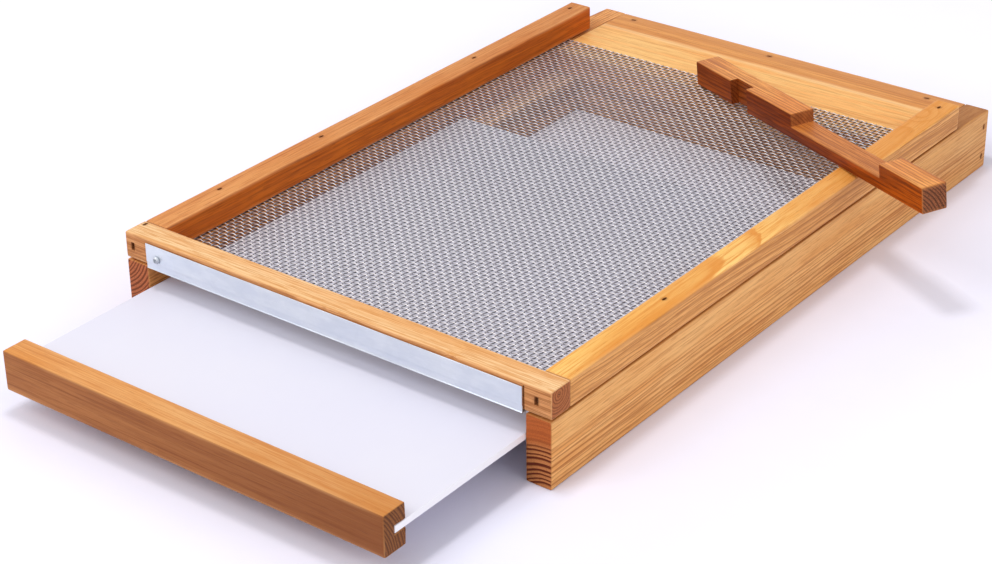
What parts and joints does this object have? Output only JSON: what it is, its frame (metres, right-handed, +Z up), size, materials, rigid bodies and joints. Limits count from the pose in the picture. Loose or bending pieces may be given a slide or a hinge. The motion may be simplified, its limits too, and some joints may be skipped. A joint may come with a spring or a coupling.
{
  "type": "screened bottom board",
  "caption": "Beehive floor with a wire screen held under battens, a landing board, a catch tray that slides out at the back and a loose entrance reducer.",
  "frame": {"origin": "on the ground, under the middle of the whole outline with the tray pulled out and the reducer laid across it", "axes": "+X to the right seen from the tray's end, +Y from the tray towards the landing board, +Z up"},
  "size_m": [0.4314, 0.6856, 0.0979],
  "materials": {
    "rail": "waxed",
    "batten": "waxed",
    "landing": "waxed",
    "inner_timber": "planed",
    "wire": "galvanised",
    "zinc": "galvanised",
    "brad": "dull",
    "tray_sheet": "satin",
    "tray_handle": "waxed",
    "reducer": "waxed"
  },
  "bodies": {
    "board": {"left_rail": "rail", "right_rail": "rail", "left_batten": "batten", "right_batten": "batten", "back_batten": "batten", "landing_board": "landing", "left_runner": "inner_timber", "right_runner": "inner_timber", "front_crosspiece": "inner_timber", "landing_cleat": "inner_timber", "wire_screen": "wire", "clamp_strip": "zinc", "clamp_screw": "zinc", "left_batten_brad_1": "brad", "left_batten_brad_2": "brad", "left_batten_brad_3": "brad", "left_batten_brad_4": "brad", "right_batten_brad_1": "brad", "right_batten_brad_2": "brad", "right_batten_brad_3": "brad", "left_rail_brad_1": "brad", "left_rail_brad_2": "brad", "right_rail_brad_1": "brad", "right_rail_brad_2": "brad", "left_runner_brad_1": "brad", "left_runner_brad_2": "brad", "left_runner_brad_3": "brad", "right_runner_brad_1": "brad", "right_runner_brad_2": "brad", "right_runner_brad_3": "brad", "left_cleat_brad": "brad", "right_cleat_brad": "brad", "left_back_brad": "brad", "right_back_brad": "brad", "top_back_brad": "brad", "landing_brad_1": "brad", "landing_brad_2": "brad", "landing_brad_3": "brad"},
    "tray": {"tray_sheet": "tray_sheet", "tray_handle": "tray_handle"},
    "reducer": {"entrance_reducer": "reducer"}
  },
  "joints": [
    {"name": "tray_slide", "type": "slide", "parent": "board", "child": "tray", "axis": [0, -1, 0], "range_m": [-0.122, 0.28]},
    {"name": "reducer_lift", "type": "slide", "parent": "board", "child": "reducer", "axis": [0, 0, 1], "range_m": [0, 0.15]}
  ]
}
